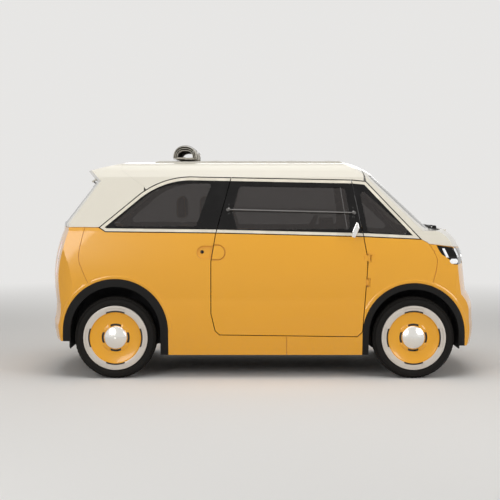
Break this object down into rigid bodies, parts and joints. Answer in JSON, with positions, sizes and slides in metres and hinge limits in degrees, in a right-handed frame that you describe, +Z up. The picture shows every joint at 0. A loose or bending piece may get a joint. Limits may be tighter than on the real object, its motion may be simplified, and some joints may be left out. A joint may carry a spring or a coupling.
{
  "type": "concept car",
  "caption": "Small two-tone electric city car with a hollow cabin, canvas roof roll, opening doors, bonnet and tailgate, steering and free-rolling wheels.",
  "frame": {"origin": "on the ground below the middle of the body", "axes": "+X forward, +Y to the driver's left, +Z up"},
  "size_m": [3.1216, 1.588, 1.6577],
  "materials": {
    "paint_yellow": "gloss body paint",
    "paint_cream": "gloss roof paint",
    "gloss_black": "gloss black window frame",
    "trim_black": "satin arch trim",
    "cream_line": "satin cream moulding",
    "glass_dark": "dark tinted glass",
    "glass_clear": "lightly tinted glass",
    "lamp_white": "white lamp lens",
    "lamp_red": "red lamp lens",
    "tyre": "black rubber",
    "wheel_enamel": "light enamel ring, yellow dish and chrome cap",
    "chassis": "satin black underbody coating",
    "cast": "machined casting",
    "cabin_dark": "grained cabin plastic",
    "seat_cloth": "woven seat cloth",
    "canvas": "woven roof canvas",
    "canvas_cream": "coated cream canvas",
    "chrome": "polished chrome"
  },
  "bodies": {
    "body": {"front_wing_right": "paint_yellow", "front_wing_left": "paint_yellow", "quarter_panel_right": "paint_yellow", "quarter_panel_left": "paint_yellow", "front_bumper": "paint_yellow", "rear_bumper": "paint_yellow", "cowl_panel": "paint_cream", "windscreen_frame": "paint_cream", "roof_panel": "paint_cream", "rear_pillars": "paint_cream", "windscreen": "glass_clear", "side_frames": "gloss_black", "window_mouldings": "cream_line", "side_glass": "glass_dark", "headlamps": "lamp_white", "tail_lamps": "lamp_red", "arch_trims": "trim_black", "floor_pan": "chassis", "battery_block": "chassis", "front_subframe": "chassis", "rear_axle": "chassis", "dashboard": "cabin_dark", "seat_left": "seat_cloth", "seat_right": "seat_cloth", "rear_bench": "seat_cloth", "canvas_base": "canvas_cream", "canvas_roll": "canvas", "wiper": "trim_black"},
    "bonnet": {"bonnet": "paint_cream"},
    "tailgate": {"tailgate": "paint_yellow", "tailgate_glass": "glass_dark"},
    "door_right": {"door_right": "paint_yellow", "door_trim_right": "cream_line", "door_frame_right": "gloss_black", "door_glass_right": "glass_dark", "mirror_right": "chrome", "window_rail_right": "trim_black"},
    "door_left": {"door_left": "paint_yellow", "door_trim_left": "cream_line", "door_frame_left": "gloss_black", "door_glass_left": "glass_dark", "mirror_left": "chrome", "window_rail_left": "trim_black"},
    "steering_wheel": {"steering_wheel": "cabin_dark"},
    "knuckle_right": {"knuckle_right": "cast"},
    "knuckle_left": {"knuckle_left": "cast"},
    "wheel_front_right": {"tyre_front_right": "tyre", "wheel_front_right": "wheel_enamel"},
    "wheel_front_left": {"tyre_front_left": "tyre", "wheel_front_left": "wheel_enamel"},
    "wheel_rear_right": {"tyre_rear_right": "tyre", "wheel_rear_right": "wheel_enamel"},
    "wheel_rear_left": {"tyre_rear_left": "tyre", "wheel_rear_left": "wheel_enamel"}
  },
  "joints": [
    {"name": "door_right_hinge", "type": "hinge", "parent": "body", "child": "door_right", "pos_m": [0.74, -0.738, 0.765], "axis": [0, 0, 1], "range_deg": [0, 65]},
    {"name": "door_left_hinge", "type": "hinge", "parent": "body", "child": "door_left", "pos_m": [0.74, 0.738, 0.765], "axis": [0, 0, -1], "range_deg": [0, 65]},
    {"name": "bonnet_hinge", "type": "hinge", "parent": "body", "child": "bonnet", "pos_m": [1.323, 0, 1.032], "axis": [0, -1, 0], "range_deg": [0, 60]},
    {"name": "tailgate_hinge", "type": "hinge", "parent": "body", "child": "tailgate", "pos_m": [-1.259, 0, 1.392], "axis": [0, 1, 0], "range_deg": [0, 75]},
    {"name": "steer_left", "type": "hinge", "parent": "body", "child": "knuckle_left", "pos_m": [1.055, 0.628, 0.288], "axis": [0, 0, 1], "range_deg": [-32, 32]},
    {"name": "steer_right", "type": "hinge", "parent": "body", "child": "knuckle_right", "pos_m": [1.055, -0.628, 0.288], "axis": [0, 0, 1], "range_deg": [-32, 32]},
    {"name": "steering_wheel_turn", "type": "hinge", "parent": "body", "child": "steering_wheel", "pos_m": [0.35, 0.33, 0.965], "axis": [-0.9063, 0, 0.4226], "range_deg": [-400, 400]},
    {"name": "wheel_front_right_spin", "type": "hinge", "parent": "knuckle_right", "child": "wheel_front_right", "pos_m": [1.055, -0.65, 0.288], "axis": [0, 1, 0], "continuous": true},
    {"name": "wheel_front_left_spin", "type": "hinge", "parent": "knuckle_left", "child": "wheel_front_left", "pos_m": [1.055, 0.65, 0.288], "axis": [0, 1, 0], "continuous": true},
    {"name": "wheel_rear_right_spin", "type": "hinge", "parent": "body", "child": "wheel_rear_right", "pos_m": [-1.045, -0.65, 0.288], "axis": [0, 1, 0], "continuous": true},
    {"name": "wheel_rear_left_spin", "type": "hinge", "parent": "body", "child": "wheel_rear_left", "pos_m": [-1.045, 0.65, 0.288], "axis": [0, 1, 0], "continuous": true}
  ],
  "couplings": [
    {"joint": "steer_right", "follows": "steer_left", "ratio": 1},
    {"joint": "steering_wheel_turn", "follows": "steer_left", "ratio": 12}
  ]
}
